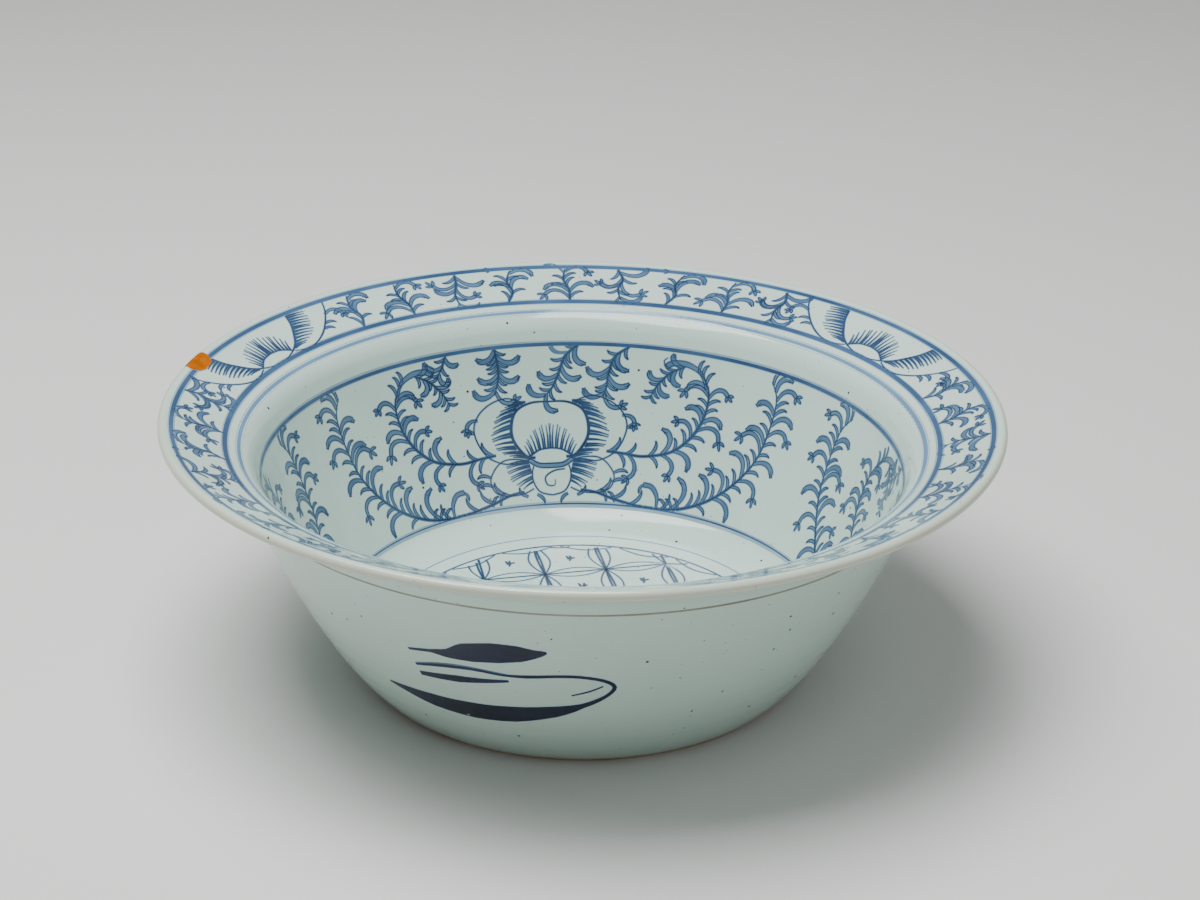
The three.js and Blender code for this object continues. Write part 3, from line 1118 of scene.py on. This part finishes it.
def speck_group() -> bpy.types.NodeTree:
    """Group that scatters small iron specks of uneven size."""
    tree, nodes, start, end = shader_group(
        "iron_specks",
        (("Scale", "NodeSocketFloat", 40.0), ("Size", "NodeSocketFloat", 0.03),
         ("Share", "NodeSocketFloat", 0.3)),
        (("Mask", "NodeSocketFloat"),),
    )
    coords = nodes.node("ShaderNodeTexCoord")
    cells = nodes.node("ShaderNodeTexVoronoi", feature="F1")
    nodes.link(coords.outputs["Object"], cells.inputs["Vector"])
    nodes.link(start.outputs["Scale"], cells.inputs["Scale"])
    split = nodes.node("ShaderNodeSeparateColor")
    nodes.link(cells.outputs["Color"], split.inputs[0])
    chosen = nodes.math("LESS_THAN", split.outputs[0], start.outputs["Share"])
    size = nodes.math("MULTIPLY", start.outputs["Size"], nodes.math("ADD", split.outputs[1], 0.35))
    near = nodes.math("SUBTRACT", 1.0, nodes.math("DIVIDE", cells.outputs["Distance"], size))
    sharp = nodes.math("MULTIPLY", nodes.math("MAXIMUM", near, 0.0), 3.0)
    nodes.link(nodes.math("MULTIPLY", nodes.math("MINIMUM", sharp, 1.0), chosen), end.inputs["Mask"])
    return tree


def lip_group() -> bpy.types.NodeTree:
    """Group that marks the lip, where the glaze thins out over the edge."""
    tree, nodes, start, end = shader_group(
        "lip_tone",
        (("Radius", "NodeSocketFloat", 0.1885), ("Blur", "NodeSocketFloat", 0.0015)),
        (("Mask", "NodeSocketFloat"),),
    )
    coords = nodes.node("ShaderNodeTexCoord")
    noise = nodes.node("ShaderNodeTexNoise")
    noise.inputs["Scale"].default_value = 25.0
    nodes.link(coords.outputs["Object"], noise.inputs["Vector"])
    split = nodes.node("ShaderNodeSeparateXYZ")
    nodes.link(coords.outputs["Object"], split.inputs[0])
    radius = nodes.math("SQRT", nodes.math("ADD", nodes.math("MULTIPLY", split.outputs[0], split.outputs[0]),
                                           nodes.math("MULTIPLY", split.outputs[1], split.outputs[1])))
    wavy = nodes.math("MULTIPLY_ADD", noise.outputs["Fac"], 0.003, radius)
    edge = nodes.node("ShaderNodeMapRange")
    nodes.link(wavy, edge.inputs["Value"])
    nodes.link(start.outputs["Radius"], edge.inputs["From Min"])
    nodes.link(nodes.math("ADD", start.outputs["Radius"], start.outputs["Blur"]), edge.inputs["From Max"])
    nodes.link(edge.outputs[0], end.inputs["Mask"])
    return tree


def ripple_group() -> bpy.types.NodeTree:
    """Group that gives the fine height of a fired glaze: turning marks and a soft unevenness."""
    tree, nodes, start, end = shader_group(
        "glaze_ripple",
        (("Rings", "NodeSocketFloat", 1.0), ("Unevenness", "NodeSocketFloat", 1.0)),
        (("Height", "NodeSocketFloat"),),
    )
    coords = nodes.node("ShaderNodeTexCoord")
    split = nodes.node("ShaderNodeSeparateXYZ")
    nodes.link(coords.outputs["Object"], split.inputs[0])
    join = nodes.node("ShaderNodeCombineXYZ")
    radius = nodes.math("SQRT", nodes.math("ADD", nodes.math("MULTIPLY", split.outputs[0], split.outputs[0]),
                                           nodes.math("MULTIPLY", split.outputs[1], split.outputs[1])))
    nodes.link(nodes.math("MULTIPLY", radius, 420.0), join.inputs[0])
    nodes.link(nodes.math("MULTIPLY", split.outputs[2], 420.0), join.inputs[1])
    rings = nodes.node("ShaderNodeTexNoise", noise_dimensions="2D")
    rings.inputs["Scale"].default_value = 1.0
    nodes.link(join.outputs[0], rings.inputs["Vector"])
    soft = nodes.node("ShaderNodeTexNoise")
    soft.inputs["Scale"].default_value = 90.0
    nodes.link(coords.outputs["Object"], soft.inputs["Vector"])
    total = nodes.math("ADD", nodes.math("MULTIPLY", rings.outputs["Fac"], start.outputs["Rings"]),
                       nodes.math("MULTIPLY", soft.outputs["Fac"], start.outputs["Unevenness"]))
    nodes.link(total, end.inputs["Height"])
    return tree


@dataclass(frozen=True)
class Finish:
    """A fired surface: its colours, gloss, specks and fine relief."""

    name: str
    colour: tuple[float, float, float]
    deep: tuple[float, float, float]
    scale: float
    amount: float
    roughness: float
    specks: float = 0.0
    relief: float = 0.0
    lip: tuple[float, float, float] | None = None
    gloss: float = 0.5

    def build(self, groups: dict[str, bpy.types.NodeTree]) -> bpy.types.Material:
        """Make the material.

        Args:
            groups: The shader groups by name.

        Returns:
            The material.
        """
        material = bpy.data.materials.new(self.name)
        material.use_nodes = True
        nodes = NodeTree(material.node_tree)
        shader = next(n for n in material.node_tree.nodes if n.type == "BSDF_PRINCIPLED")
        shader.inputs["Roughness"].default_value = self.roughness
        shader.inputs["Specular IOR Level"].default_value = self.gloss
        mottle = nodes.node("ShaderNodeGroup", node_tree=groups["mottle"])
        mottle.inputs["Colour"].default_value = (*self.colour, 1)
        mottle.inputs["Deep"].default_value = (*self.deep, 1)
        mottle.inputs["Scale"].default_value = self.scale
        mottle.inputs["Amount"].default_value = self.amount
        colour = mottle.outputs["Colour"]
        if self.lip:
            tone = nodes.node("ShaderNodeGroup", node_tree=groups["lip"])
            mix = nodes.node("ShaderNodeMix", data_type="RGBA")
            nodes.link(tone.outputs["Mask"], mix.inputs["Factor"])
            nodes.link(colour, mix.inputs["A"])
            mix.inputs["B"].default_value = (*self.lip, 1)
            colour = mix.outputs["Result"]
        if self.specks:
            colour = self._speckled(nodes, groups, colour)
        nodes.link(colour, shader.inputs["Base Color"])
        if self.relief:
            ripple = nodes.node("ShaderNodeGroup", node_tree=groups["ripple"])
            bump = nodes.node("ShaderNodeBump")
            bump.inputs["Strength"].default_value = self.relief
            bump.inputs["Distance"].default_value = 0.0004
            nodes.link(ripple.outputs["Height"], bump.inputs["Height"])
            nodes.link(bump.outputs[0], shader.inputs["Normal"])
        return material

    def _speckled(self, nodes: NodeTree, groups: dict[str, bpy.types.NodeTree],
                  colour: bpy.types.NodeSocket) -> bpy.types.NodeSocket:
        """Add large rare specks and fine frequent ones to a colour."""
        for scale, size, share in ((150.0, 0.1, 0.2 * self.specks), (340.0, 0.1, 0.16 * self.specks)):
            specks = nodes.node("ShaderNodeGroup", node_tree=groups["specks"])
            specks.inputs["Scale"].default_value = scale
            specks.inputs["Size"].default_value = size
            specks.inputs["Share"].default_value = share
            mix = nodes.node("ShaderNodeMix", data_type="RGBA")
            nodes.link(specks.outputs["Mask"], mix.inputs["Factor"])
            nodes.link(colour, mix.inputs["A"])
            mix.inputs["B"].default_value = (0.035, 0.026, 0.016, 1)
            colour = mix.outputs["Result"]
        return colour


FINISHES = (
    Finish("pale_glaze", (0.56, 0.72, 0.65), (0.50, 0.66, 0.59), 9.0, 0.7, 0.09, specks=1.4, relief=0.12,
           lip=(0.56, 0.61, 0.50)),
    Finish("base_glaze", (0.56, 0.66, 0.60), (0.50, 0.60, 0.54), 12.0, 0.7, 0.16, specks=1.0, relief=0.2),
    Finish("bare_clay", (0.60, 0.53, 0.42), (0.46, 0.33, 0.20), 40.0, 0.8, 0.8, specks=0.6, relief=0.8),
    Finish("cobalt_line", (0.015, 0.038, 0.092), (0.034, 0.078, 0.165), 70.0, 0.8, 0.1),
    Finish("cobalt_wash", (0.10, 0.195, 0.31), (0.062, 0.135, 0.24), 60.0, 0.9, 0.1),
    Finish("cobalt_halo", (0.30, 0.42, 0.49), (0.23, 0.35, 0.44), 60.0, 0.9, 0.1),
    Finish("cobalt_deep", (0.005, 0.008, 0.024), (0.012, 0.020, 0.06), 30.0, 0.8, 0.1),
    Finish("cobalt_ring", (0.026, 0.072, 0.16), (0.065, 0.14, 0.27), 25.0, 0.8, 0.1),
    Finish("cobalt_pale_ring", (0.15, 0.28, 0.43), (0.11, 0.22, 0.37), 30.0, 0.8, 0.1),
    # Painted shade: the glaze's grey-green in shade, laid as a thin ring under the flange
    Finish("neck_ring", (0.19, 0.20, 0.14), (0.30, 0.33, 0.26), 40.0, 0.9, 0.12),
    Finish("chip_fill", (0.44, 0.115, 0.002), (0.30, 0.07, 0.002), 220.0, 0.8, 0.85, relief=0.6, gloss=0.02),
)


def curve_object(name: str, points: Sequence[Point]) -> bpy.types.Object:
    """Make the outline of a path as a curve in the plane of the axis.

    Args:
        name: Name of the object.
        points: Radius and height in millimetres.

    Returns:
        The curve object, not yet in the scene.
    """
    data = bpy.data.curves.new(name, "CURVE")
    data.dimensions = "3D"
    spline = data.splines.new("POLY")
    spline.points.add(len(points) - 1)
    for target, (radius, height) in zip(spline.points, points):
        target.co = (radius * MM, 0.0, height * MM, 1.0)
    return bpy.data.objects.new(name, data)


def stroke_object(name: str, strokes: Sequence[Stroke]) -> bpy.types.Object:
    """Make flat strokes as one curve object whose radius is the half-width.

    Args:
        name: Name of the object.
        strokes: Flat strokes in millimetres.

    Returns:
        The curve object, not yet in the scene.
    """
    data = bpy.data.curves.new(name, "CURVE")
    data.dimensions = "3D"
    for stroke in strokes:
        spline = data.splines.new("POLY")
        spline.points.add(len(stroke.points) - 1)
        for target, (x, y), width in zip(spline.points, stroke.points, stroke.widths):
            target.co = (x * MM, y * MM, 0.0, 1.0)
            target.radius = width * MM
    return bpy.data.objects.new(name, data)


def evaluated(name: str, source: bpy.types.Object, tree: bpy.types.NodeTree,
              values: dict[str, object]) -> bpy.types.Object:
    """Run a geometry tree on an object and keep the result as a plain mesh.

    Args:
        name: Name of the finished piece.
        source: Object that the tree starts from.
        tree: Geometry tree.
        values: The tree's inputs by name.

    Returns:
        The finished piece, at the origin.
    """
    bpy.context.scene.collection.objects.link(source)
    modifier = source.modifiers.new("shape", "NODES")
    modifier.node_group = tree
    for key, value in values.items():
        modifier[socket_id(tree, key)] = value
    bpy.context.view_layer.update()
    graph = bpy.context.evaluated_depsgraph_get()
    mesh = bpy.data.meshes.new_from_object(source.evaluated_get(graph), depsgraph=graph)
    mesh.name = name
    source.modifiers.remove(modifier)
    bpy.data.objects.remove(source)
    piece = bpy.data.objects.new(name, mesh)
    bpy.context.scene.collection.objects.link(piece)
    return piece


@dataclass
class Basin:
    """The dressed basin."""

    form: BasinForm
    segments: int = 288

    def __post_init__(self) -> None:
        """Build the trees, the groups and the finishes once."""
        self.turning = turning_tree()
        self.wrapping = wrapping_tree()
        groups = {"mottle": mottle_group(), "specks": speck_group(), "ripple": ripple_group(),
                  "lip": lip_group()}
        self.materials = {finish.name: finish.build(groups) for finish in FINISHES}

    def turned(self, name: str, outline: Sequence[Point], material: str) -> bpy.types.Object:
        """Turn an outline that starts and ends on the axis into a closed piece.

        Args:
            name: Name of the piece.
            outline: Points in millimetres.
            material: Name of the finish.

        Returns:
            The piece.
        """
        mesh = bpy.data.meshes.new(name + "_outline")
        mesh.from_pydata([(r * MM, 0.0, z * MM) for r, z in outline],
                         [(i, i + 1) for i in range(len(outline) - 1)], [])
        source = bpy.data.objects.new(name + "_outline", mesh)
        piece = evaluated(name, source, self.turning, {
            "Segments": self.segments, "Seed": 1, "Material": self.materials[material]})
        self._face_out(piece)
        return piece

    def _face_out(self, piece: bpy.types.Object) -> None:
        """Close the poles and turn every face outwards."""
        work = bmesh.new()
        work.from_mesh(piece.data)
        bmesh.ops.remove_doubles(work, verts=work.verts, dist=2e-7)
        bmesh.ops.dissolve_degenerate(work, edges=work.edges, dist=1e-8)
        bmesh.ops.recalc_face_normals(work, faces=work.faces)
        if work.calc_volume(signed=True) < 0:
            bmesh.ops.reverse_faces(work, faces=work.faces)
        work.to_mesh(piece.data)
        work.free()

    def chip_tool(self, clearance: float) -> bpy.types.Object:
        """Six-sided notch through the lip.

        Args:
            clearance: Distance by which the tool is smaller than the chip, in millimetres.

        Returns:
            The tool as an object.
        """
        edge = self.form.diameter / 2
        side = [(edge + 9.6, 7.5 - clearance), (edge, 7.5 - clearance), (edge - 2.2, 9.3 - clearance),
                (edge - 4.8, 9.8 - clearance), (edge - 8.4 + clearance, 7.4 - clearance),
                (edge - 9.6 + clearance, 3.8 - clearance)]
        ring = [*side, *[(x, -y) for x, y in reversed(side)]]
        work = bmesh.new()
        low = [work.verts.new((x * MM, y * MM, (self.form.height - 16) * MM)) for x, y in ring]
        high = [work.verts.new((x * MM, y * MM, (self.form.height + 8) * MM)) for x, y in ring]
        work.faces.new(low)
        work.faces.new(reversed(high))
        for i in range(len(ring)):
            j = (i + 1) % len(ring)
            work.faces.new((low[i], low[j], high[j], high[i]))
        bmesh.ops.recalc_face_normals(work, faces=work.faces)
        turn = Matrix.Rotation(CHIP_ANGLE, 3, "Z")
        bmesh.ops.rotate(work, verts=work.verts, cent=(0, 0, 0), matrix=turn)
        mesh = bpy.data.meshes.new("chip_tool")
        work.to_mesh(mesh)
        work.free()
        tool = bpy.data.objects.new("chip_tool", mesh)
        bpy.context.scene.collection.objects.link(tool)
        return tool

    def cut(self, piece: bpy.types.Object, clearance: float, operation: str) -> None:
        """Cut a piece with the chip's notch, or keep only what lies in it.

        Args:
            piece: The piece, changed in place.
            clearance: How much smaller the tool is.
            operation: DIFFERENCE or INTERSECT.
        """
        tool = self.chip_tool(clearance)
        modifier = piece.modifiers.new("chip", "BOOLEAN")
        modifier.operation = operation
        modifier.solver = "EXACT"
        modifier.object = tool
        bpy.context.view_layer.update()
        graph = bpy.context.evaluated_depsgraph_get()
        mesh = bpy.data.meshes.new_from_object(piece.evaluated_get(graph), depsgraph=graph)
        piece.modifiers.remove(modifier)
        piece.data = mesh
        mesh.name = piece.name
        bpy.data.objects.remove(tool)
        mesh.set_sharp_from_angle(angle=SHARP_ANGLE)

    def settle(self, piece: bpy.types.Object, slot: str, *nodes: str) -> None:
        """Make a piece ride with the basin and hide the solids that it replaces.

        Args:
            piece: The piece.
            slot: Not used.
            nodes: Solids that it replaces.
        """
        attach(piece, BODY)
        if nodes:
            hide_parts(*nodes)
        LOG.info("built %s with %d faces", piece.name, len(piece.data.polygons))

    def build_layers(self) -> None:
        """Build the clay, both glazes and the fill."""
        form = self.form
        coat = [*form.outside(), *form.lip(), *form.inside()]
        clay_coat = form.inset(coat, form.glaze)
        base = form.base()
        clay_base = form.inset(base, form.glaze)
        foot = form.foot()
        clay = self.turned("basin_clay", [*clay_base, *foot, *clay_coat], "bare_clay")
        self.cut(clay, 0.0, "DIFFERENCE")
        self.settle(clay, "clay", "porcelain_body")
        glaze = self.turned("basin_glaze", [*reversed(clay_coat), *coat], "pale_glaze")
        self.cut(glaze, 0.0, "DIFFERENCE")
        self.settle(glaze, "glaze", "glaze_coat")
        under = self.turned("basin_base_glaze", [*base, *reversed(clay_base)], "base_glaze")
        under.data.set_sharp_from_angle(angle=SHARP_ANGLE)
        self.settle(under, "base_glaze", "base_glaze")
        proud = form.inset(coat, -form.fill_proud)
        fill = self.turned("basin_lip_fill", [*clay_base, *foot, *proud], "chip_fill")
        self.cut(fill, CHIP_GAP, "INTERSECT")
        self.settle(fill, "fill", "rim_chip_fill")

    def lay(self, name: str, strokes: Sequence[Stroke], material: str, side: Side,
            **place: float) -> bpy.types.Object:
        """Lay strokes on the form as one piece.

        Args:
            name: Name of the piece.
            strokes: Flat strokes in millimetres.
            material: Name of the finish.
            side: Face of the form that carries them.
            place: Angle, radius, count, lift and other places, in radians and millimetres.

        Returns:
            The piece.
        """
        form = self.form
        if side is Side.INSIDE:
            path = [*form.lip(), *form.inside()][::-1]
        else:
            path = form.outside()
        guide = curve_object(name + "_path", path)
        bpy.context.scene.collection.objects.link(guide)
        radius = place.get("radius", 100.0)
        count = int(place.get("count", 1))
        values = {
            "Path": guide,
            "Angle": place.get("angle", 0.0),
            "Turn": -side.value / (radius * MM),
            "Side": side.value,
            "Polar": bool(place.get("polar", 0)),
            "Lift": place.get("lift", 0.05) * MM,
            "Depth": place.get("depth", 0.12) * MM,
            "Count": count,
            "Pitch": 2 * math.pi * radius * MM / count,
            "Across": int(place.get("across", 0)),
            "Caps": bool(place.get("caps", 1)),
            "Seed": 1,
            "Material": self.materials[material],
        }
        piece = evaluated(name, stroke_object(name + "_strokes", strokes), self.wrapping, values)
        bpy.data.objects.remove(guide)
        self._face_out(piece)
        self.settle(piece, "cobalt")
        return piece

    def paint_band(self, name: str, unit: Painting, low: float, height: float, **where: float) -> None:
        """Lay one repeating band in three layers: run colour, wash and lines.

        Args:
            name: Start of the names of the pieces.
            unit: Painting that repeats, with heights counted from the band's lower line.
            low: Path length of that line.
            height: Height of the band.
            where: Radius, angle and count of the band.
        """
        band = Painting()
        band.add(unit.within(-1.2, height + 1.8), lambda p: (p[0], p[1] + low))
        self.lay(name + "_halo", band.halos(0.34), "cobalt_halo", Side.INSIDE, lift=HALO_LIFT, **where)
        self.lay(name + "_wash", band.washes, "cobalt_wash", Side.INSIDE, lift=WASH_LIFT, **where)
        self.lay(name + "_lines", band.lines, "cobalt_line", Side.INSIDE, lift=LINE_LIFT, **where)

    def paint_scrolls(self) -> None:
        """Paint the wall, the rim, the well and the outside."""
        wall = WallScroll(Brush(seed=11))
        self.paint_band("wall_scroll", wall.unit(), wall.low, wall.height,
                        radius=wall.radius, angle=wall.centre_angle, count=wall.repeats)
        rim = RimScroll(Brush(seed=5, leaf_width=1.1))
        self.paint_band("rim_scroll", rim.unit(), rim.low, rim.height,
                        radius=rim.radius, angle=rim.centre_angle, count=rim.repeats)
        well = WellLattice(Brush(seed=3)).whole()
        self.lay("well_lattice_halo", well.halos(0.32), "cobalt_halo", Side.INSIDE, lift=HALO_LIFT, polar=1)
        self.lay("well_lattice", well.lines, "cobalt_line", Side.INSIDE, lift=LINE_LIFT, polar=1)
        mark = OutsideMark()
        drawing = mark.whole()
        where = {"radius": mark.radius, "angle": mark.centre_angle, "across": 2}
        self.lay("outside_mark_wash", [*drawing.washes, *drawing.halos(0.3)], "cobalt_wash",
                 Side.OUTSIDE, lift=OUTSIDE_WASH_LIFT, **where)
        self.lay("outside_mark", drawing.lines, "cobalt_deep", Side.OUTSIDE, lift=OUTSIDE_MARK_LIFT, **where)

    def paint_rings(self) -> None:
        """Paint the rings that divide the bands, and a ring of painted shade under the flange."""
        inside = (
            (RingLine("rim_edge_halo", 246.7, 1.7, 0.15), "cobalt_halo"),
            (RingLine("rim_edge", 246.6, 1.1, 0.15), "cobalt_ring"),
            (RingLine("rim_inner_halo", 221.4, 1.9, 0.12), "cobalt_halo"),
            (RingLine("rim_inner", 221.4, 1.25, 0.12), "cobalt_ring"),
            (RingLine("rim_pale_halo", 214.6, 1.8, 0.15), "cobalt_halo"),
            (RingLine("rim_pale", 214.6, 0.95, 0.15), "cobalt_pale_ring"),
            (RingLine("wall_top_halo", 197.5, 1.6, 0.12), "cobalt_halo"),
            (RingLine("wall_top", 197.2, 0.9, 0.12), "cobalt_ring"),
            (RingLine("wall_foot_halo", 115.3, 1.6, 0.1), "cobalt_halo"),
            (RingLine("wall_foot", 115.1, 0.95, 0.1), "cobalt_ring"),
            (RingLine("well_outer", 94.4, 0.34, 0.1), "cobalt_pale_ring"),
            (RingLine("well_inner", 87.2, 0.55, 0.1), "cobalt_ring"),
        )
        for index, (ring, finish) in enumerate(inside):
            lift = RING_HALO_LIFT if finish == "cobalt_halo" else RING_LIFT
            self.lay("ring_" + ring.name, [ring.stroke(RING_RADIUS, index)], finish, Side.INSIDE,
                     caps=0, lift=lift, across=1)
        # The ring under the flange is painted shade, not cobalt: the shaded glaze's grey-green where the
        # flange overhangs the neck
        neck = RingLine("neck", 110.6, 0.55, 0.15)
        self.lay("ring_neck", [neck.stroke(RING_RADIUS, 40)], "neck_ring", Side.OUTSIDE,
                 caps=0, lift=OUTSIDE_RING_LIFT, across=1)


@dataclass
class Studio:
    """Camera at the photograph's angle, pale floor and soft light."""

    elevation: float = 0.400129
    distance: float = 1.12877
    yaw: float = 0.006926
    pitch: float = -0.017579
    roll: float = math.radians(0.62)
    aim: float = 0.1246
    lens: float = 75.0

    def camera(self) -> None:
        """Place the camera."""
        back = Vector((0, -math.cos(self.elevation), math.sin(self.elevation)))
        right = Vector((1, 0, 0))
        ahead = -back
        up = right.cross(ahead)
        right, ahead = (right * math.cos(self.yaw) - ahead * math.sin(self.yaw),
                        right * math.sin(self.yaw) + ahead * math.cos(self.yaw))
        up, ahead = (up * math.cos(self.pitch) - ahead * math.sin(self.pitch),
                     up * math.sin(self.pitch) + ahead * math.cos(self.pitch))
        right, up = (right * math.cos(self.roll) + up * math.sin(self.roll),
                     up * math.cos(self.roll) - right * math.sin(self.roll))
        data = bpy.data.cameras.new("camera")
        data.sensor_fit = "HORIZONTAL"
        data.sensor_width = 36.0
        data.lens = self.lens
        data.clip_start = 0.01
        camera = bpy.data.objects.new("camera", data)
        turn = Matrix((right, up, -ahead)).transposed().to_4x4()
        camera.matrix_world = Matrix.Translation(back * self.distance + Vector((0, 0, self.aim))) @ turn
        bpy.context.scene.collection.objects.link(camera)
        bpy.context.scene.camera = camera

    def floor(self) -> None:
        """Lay a plain pale floor that runs far out."""
        mesh = bpy.data.meshes.new("floor")
        half = 6.0
        corners = [(-half, -half, 0), (half, -half, 0), (half, half, 0), (-half, half, 0)]
        mesh.from_pydata(corners, [], [(0, 1, 2, 3)])
        material = bpy.data.materials.new("floor_pale")
        material.use_nodes = True
        shader = next(n for n in material.node_tree.nodes if n.type == "BSDF_PRINCIPLED")
        shader.inputs["Base Color"].default_value = (0.72, 0.72, 0.71, 1)
        shader.inputs["Roughness"].default_value = 0.9
        mesh.materials.append(material)
        floor = bpy.data.objects.new("floor", mesh)
        bpy.context.scene.collection.objects.link(floor)

    def light(self) -> None:
        """Light softly from above and behind, with little from the front."""
        world = bpy.data.worlds.new("studio")
        world.use_nodes = True
        back = next(n for n in world.node_tree.nodes if n.type == "BACKGROUND")
        back.inputs["Color"].default_value = (1.0, 1.0, 1.0, 1)
        back.inputs["Strength"].default_value = 0.24
        bpy.context.scene.world = world
        for name, place, size, power in (
            ("key", (-0.35, -0.1, 1.75), 1.2, 52.0),
            ("fill", (0.9, -0.9, 1.3), 1.2, 2.5),
        ):
            data = bpy.data.lights.new(name, "AREA")
            data.size = size
            data.energy = power
            lamp = bpy.data.objects.new(name, data)
            lamp.location = place
            lamp.rotation_euler = (-Vector(place)).to_track_quat("-Z", "Y").to_euler()
            bpy.context.scene.collection.objects.link(lamp)


def main() -> None:
    """Build the basin in order."""
    logging.basicConfig(level=logging.INFO, format="%(name)s: %(message)s")
    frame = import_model()
    LOG.info("loaded %d solids", len(frame["nodes"]))
    studio = Studio()
    studio.camera()
    studio.floor()
    studio.light()
    basin = Basin(BasinForm())
    basin.build_layers()
    basin.paint_rings()
    basin.paint_scrolls()


if __name__ == "__main__":
    main()
